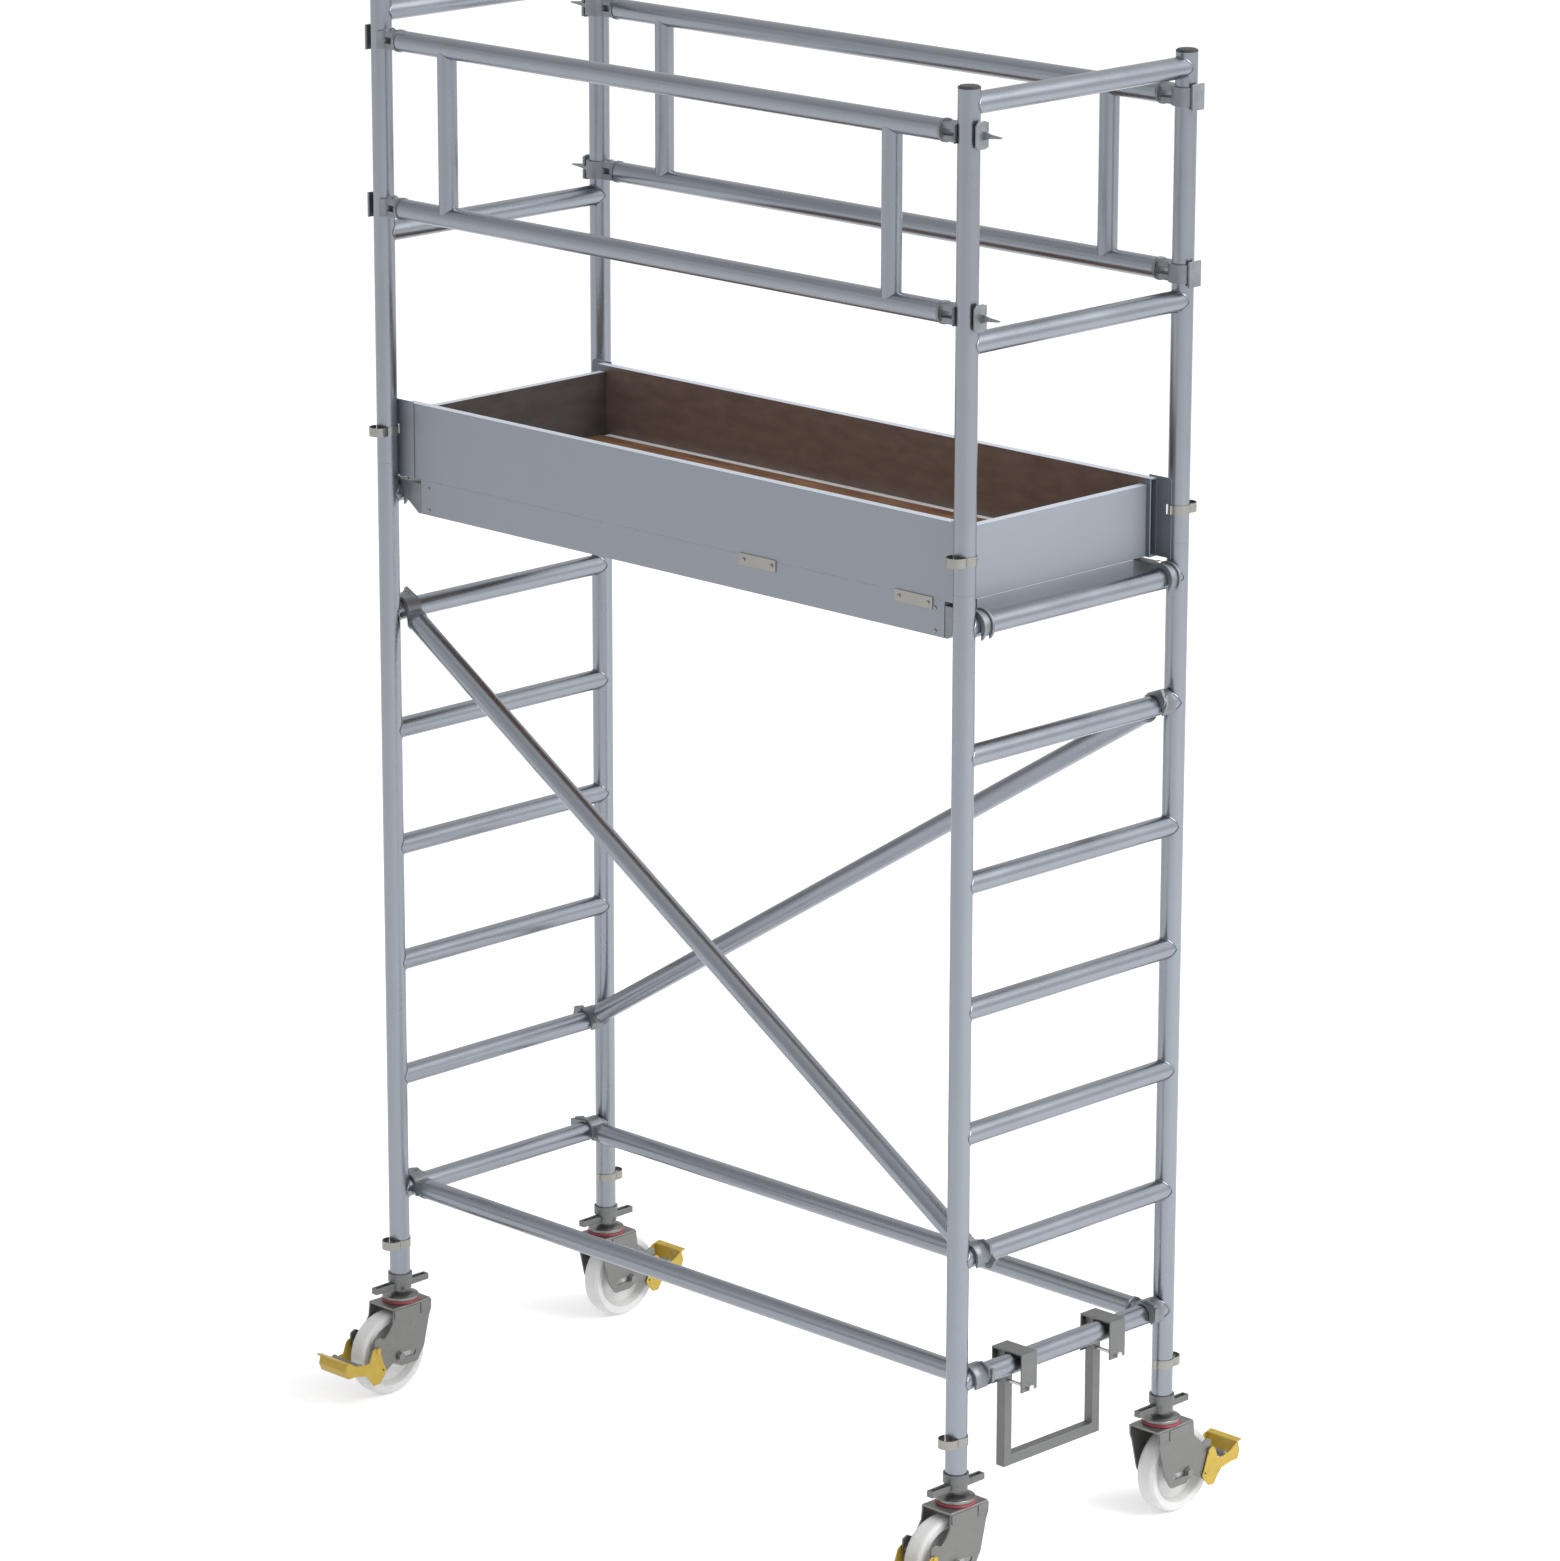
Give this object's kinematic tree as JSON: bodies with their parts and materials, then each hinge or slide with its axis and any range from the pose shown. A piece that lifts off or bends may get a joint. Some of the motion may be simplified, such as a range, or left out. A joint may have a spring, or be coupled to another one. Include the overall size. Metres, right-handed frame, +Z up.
{
  "type": "baker scaffold",
  "caption": "Narrow rolling scaffold tower with ladder end frames, diagonal braces, guarded hatch deck with toe boards, braked height-adjustable casters and a hang-on access step.",
  "frame": {"origin": "centre of the footprint on the floor, midway between the four uprights", "axes": "+Z up, +X along the tower towards the end with the access step, -Y towards the front side with the toe board clips"},
  "size_m": [1.972, 1.126, 3.318],
  "materials": {
    "zinc_plated_steel": "zinc plated, satin",
    "cast_zinc": "galvanised casting, matte",
    "red_seal": "moulded seal, satin",
    "fork_steel": "zinc plated sheet, satin",
    "white_polyamide": "turned polyamide, satin",
    "yellow_steel": "yellow passivated sheet, satin",
    "aluminium_tube": "extruded, satin",
    "cast_aluminium": "die cast, matte",
    "black_plastic": "moulded, matte",
    "stainless_steel": "rolled strip, satin",
    "aluminium_profile": "extruded profile, satin",
    "toe_board_aluminium": "extruded board, satin",
    "plywood": "film-faced birch plywood, worn satin",
    "galvanised_steel": "hot-dip galvanised, matte",
    "bright_bolt": "bright zinc plated"
  },
  "bodies": {
    "tower": {"ladder_frame_left": "aluminium_tube", "ladder_frame_right": "aluminium_tube", "guard_frame_left": "aluminium_tube", "guard_frame_right": "aluminium_tube", "frame_spigots": "aluminium_tube", "post_caps": "black_plastic", "spring_clips": "stainless_steel", "guardrail_front": "aluminium_tube", "guardrail_rear": "aluminium_tube", "guardrail_claws": "cast_aluminium", "base_tubes": "aluminium_tube", "diagonal_braces": "aluminium_tube", "brace_claws": "cast_aluminium", "platform_side_rails": "aluminium_profile", "platform_cross_rails": "aluminium_profile", "platform_claws": "cast_aluminium", "deck_board": "plywood", "hatch_hinge_leaves": "stainless_steel", "side_toe_boards": "toe_board_aluminium", "end_toe_boards": "toe_board_aluminium", "toe_board_brackets": "toe_board_aluminium", "toe_board_clips": "stainless_steel", "rivets": "stainless_steel"},
    "spindle_front_left": {"spindle_front_left": "zinc_plated_steel"},
    "wing_nut_front_left": {"wing_nut_front_left": "cast_zinc"},
    "swivel_front_left": {"fork_front_left": "fork_steel", "seal_ring_front_left": "red_seal"},
    "axle_front_left": {"axle_front_left": "zinc_plated_steel"},
    "wheel_front_left": {"wheel_front_left": "white_polyamide"},
    "pedal_front_left": {"pedal_front_left": "yellow_steel"},
    "spindle_front_right": {"spindle_front_right": "zinc_plated_steel"},
    "wing_nut_front_right": {"wing_nut_front_right": "cast_zinc"},
    "swivel_front_right": {"fork_front_right": "fork_steel", "seal_ring_front_right": "red_seal"},
    "axle_front_right": {"axle_front_right": "zinc_plated_steel"},
    "wheel_front_right": {"wheel_front_right": "white_polyamide"},
    "pedal_front_right": {"pedal_front_right": "yellow_steel"},
    "spindle_rear_right": {"spindle_rear_right": "zinc_plated_steel"},
    "wing_nut_rear_right": {"wing_nut_rear_right": "cast_zinc"},
    "swivel_rear_right": {"fork_rear_right": "fork_steel", "seal_ring_rear_right": "red_seal"},
    "axle_rear_right": {"axle_rear_right": "zinc_plated_steel"},
    "wheel_rear_right": {"wheel_rear_right": "white_polyamide"},
    "pedal_rear_right": {"pedal_rear_right": "yellow_steel"},
    "spindle_rear_left": {"spindle_rear_left": "zinc_plated_steel"},
    "wing_nut_rear_left": {"wing_nut_rear_left": "cast_zinc"},
    "swivel_rear_left": {"fork_rear_left": "fork_steel", "seal_ring_rear_left": "red_seal"},
    "axle_rear_left": {"axle_rear_left": "zinc_plated_steel"},
    "wheel_rear_left": {"wheel_rear_left": "white_polyamide"},
    "pedal_rear_left": {"pedal_rear_left": "yellow_steel"},
    "latch_front_upper": {"latch_front_upper": "cast_aluminium"},
    "latch_front_lower": {"latch_front_lower": "cast_aluminium"},
    "latch_rear_upper": {"latch_rear_upper": "cast_aluminium"},
    "latch_rear_lower": {"latch_rear_lower": "cast_aluminium"},
    "hatch": {"hatch": "plywood", "hatch_hinge_straps": "stainless_steel"},
    "access_step": {"step_frame": "galvanised_steel", "step_hooks": "galvanised_steel", "step_bolts": "bright_bolt"}
  },
  "joints": [
    {"name": "height_front_left", "type": "slide", "parent": "tower", "child": "spindle_front_left", "axis": [0, 0, -1], "range_m": [0, 0.2]},
    {"name": "nut_turn_front_left", "type": "hinge", "parent": "tower", "child": "wing_nut_front_left", "pos_m": [-0.8985, -0.337, 0.27], "axis": [0, 0, 1], "range_deg": [0, 9001]},
    {"name": "swivel_front_left", "type": "hinge", "parent": "spindle_front_left", "child": "swivel_front_left", "pos_m": [-0.8985, -0.337, 0.221], "axis": [0, 0, 1], "continuous": true},
    {"name": "pedal_press_front_left", "type": "hinge", "parent": "swivel_front_left", "child": "pedal_front_left", "pos_m": [-0.8985, -0.452, 0.132], "axis": [1, 0, 0], "range_deg": [0, 30]},
    {"name": "axle_shift_front_left", "type": "slide", "parent": "swivel_front_left", "child": "axle_front_left", "axis": [0, 1, 0], "range_m": [0, 0.0441]},
    {"name": "wheel_spin_front_left", "type": "hinge", "parent": "axle_front_left", "child": "wheel_front_left", "pos_m": [-0.8985, -0.381, 0.1], "axis": [1, 0, 0], "continuous": true},
    {"name": "height_front_right", "type": "slide", "parent": "tower", "child": "spindle_front_right", "axis": [0, 0, -1], "range_m": [0, 0.2]},
    {"name": "nut_turn_front_right", "type": "hinge", "parent": "tower", "child": "wing_nut_front_right", "pos_m": [0.8985, -0.337, 0.27], "axis": [0, 0, 1], "range_deg": [0, 9001]},
    {"name": "swivel_front_right", "type": "hinge", "parent": "spindle_front_right", "child": "swivel_front_right", "pos_m": [0.8985, -0.337, 0.221], "axis": [0, 0, 1], "continuous": true},
    {"name": "pedal_press_front_right", "type": "hinge", "parent": "swivel_front_right", "child": "pedal_front_right", "pos_m": [0.8985, -0.452, 0.132], "axis": [1, 0, 0], "range_deg": [0, 30]},
    {"name": "axle_shift_front_right", "type": "slide", "parent": "swivel_front_right", "child": "axle_front_right", "axis": [0, 1, 0], "range_m": [0, 0.0441]},
    {"name": "wheel_spin_front_right", "type": "hinge", "parent": "axle_front_right", "child": "wheel_front_right", "pos_m": [0.8985, -0.381, 0.1], "axis": [1, 0, 0], "continuous": true},
    {"name": "height_rear_right", "type": "slide", "parent": "tower", "child": "spindle_rear_right", "axis": [0, 0, -1], "range_m": [0, 0.2]},
    {"name": "nut_turn_rear_right", "type": "hinge", "parent": "tower", "child": "wing_nut_rear_right", "pos_m": [0.8985, 0.337, 0.27], "axis": [0, 0, 1], "range_deg": [0, 9001]},
    {"name": "swivel_rear_right", "type": "hinge", "parent": "spindle_rear_right", "child": "swivel_rear_right", "pos_m": [0.8985, 0.337, 0.221], "axis": [0, 0, 1], "continuous": true},
    {"name": "pedal_press_rear_right", "type": "hinge", "parent": "swivel_rear_right", "child": "pedal_rear_right", "pos_m": [0.8985, 0.452, 0.132], "axis": [-1, 0, 0], "range_deg": [0, 30]},
    {"name": "axle_shift_rear_right", "type": "slide", "parent": "swivel_rear_right", "child": "axle_rear_right", "axis": [0, -1, 0], "range_m": [0, 0.0441]},
    {"name": "wheel_spin_rear_right", "type": "hinge", "parent": "axle_rear_right", "child": "wheel_rear_right", "pos_m": [0.8985, 0.381, 0.1], "axis": [1, 0, 0], "continuous": true},
    {"name": "height_rear_left", "type": "slide", "parent": "tower", "child": "spindle_rear_left", "axis": [0, 0, -1], "range_m": [0, 0.2]},
    {"name": "nut_turn_rear_left", "type": "hinge", "parent": "tower", "child": "wing_nut_rear_left", "pos_m": [-0.8985, 0.337, 0.27], "axis": [0, 0, 1], "range_deg": [0, 9001]},
    {"name": "swivel_rear_left", "type": "hinge", "parent": "spindle_rear_left", "child": "swivel_rear_left", "pos_m": [-0.8985, 0.337, 0.221], "axis": [0, 0, 1], "continuous": true},
    {"name": "pedal_press_rear_left", "type": "hinge", "parent": "swivel_rear_left", "child": "pedal_rear_left", "pos_m": [-0.8985, 0.452, 0.132], "axis": [-1, 0, 0], "range_deg": [0, 30]},
    {"name": "axle_shift_rear_left", "type": "slide", "parent": "swivel_rear_left", "child": "axle_rear_left", "axis": [0, -1, 0], "range_m": [0, 0.0441]},
    {"name": "wheel_spin_rear_left", "type": "hinge", "parent": "axle_rear_left", "child": "wheel_rear_left", "pos_m": [-0.8985, 0.381, 0.1], "axis": [1, 0, 0], "continuous": true},
    {"name": "latch_front_upper_swing", "type": "hinge", "parent": "tower", "child": "latch_front_upper", "pos_m": [0.933, -0.321, 3.218], "axis": [0, 0, 1], "range_deg": [0, 75], "stiffness_Nm_per_rad": 0.05, "springref_deg": -34.38},
    {"name": "latch_front_lower_swing", "type": "hinge", "parent": "tower", "child": "latch_front_lower", "pos_m": [0.933, -0.321, 2.838], "axis": [0, 0, 1], "range_deg": [0, 75], "stiffness_Nm_per_rad": 0.05, "springref_deg": -34.38},
    {"name": "latch_rear_upper_swing", "type": "hinge", "parent": "tower", "child": "latch_rear_upper", "pos_m": [-0.933, 0.321, 3.218], "axis": [0, 0, 1], "range_deg": [0, 75], "stiffness_Nm_per_rad": 0.05, "springref_deg": -34.38},
    {"name": "latch_rear_lower_swing", "type": "hinge", "parent": "tower", "child": "latch_rear_lower", "pos_m": [-0.933, 0.321, 2.838], "axis": [0, 0, 1], "range_deg": [0, 75], "stiffness_Nm_per_rad": 0.05, "springref_deg": -34.38},
    {"name": "hatch_lift", "type": "hinge", "parent": "tower", "child": "hatch", "pos_m": [0, -0.269, 2.2315], "axis": [1, 0, 0], "range_deg": [0, 88]},
    {"name": "step_swing", "type": "hinge", "parent": "tower", "child": "access_step", "pos_m": [0.8985, 0, 0.494], "axis": [0, 1, 0], "range_deg": [-25, 25]}
  ],
  "couplings": [
    {"joint": "nut_turn_front_left", "follows": "height_front_left", "rad_per_m": 785.4},
    {"joint": "axle_shift_front_left", "follows": "pedal_press_front_left", "m_per_rad": 0.08403},
    {"joint": "nut_turn_front_right", "follows": "height_front_right", "rad_per_m": 785.4},
    {"joint": "axle_shift_front_right", "follows": "pedal_press_front_right", "m_per_rad": 0.08403},
    {"joint": "nut_turn_rear_right", "follows": "height_rear_right", "rad_per_m": 785.4},
    {"joint": "axle_shift_rear_right", "follows": "pedal_press_rear_right", "m_per_rad": 0.08403},
    {"joint": "nut_turn_rear_left", "follows": "height_rear_left", "rad_per_m": 785.4},
    {"joint": "axle_shift_rear_left", "follows": "pedal_press_rear_left", "m_per_rad": 0.08403}
  ]
}
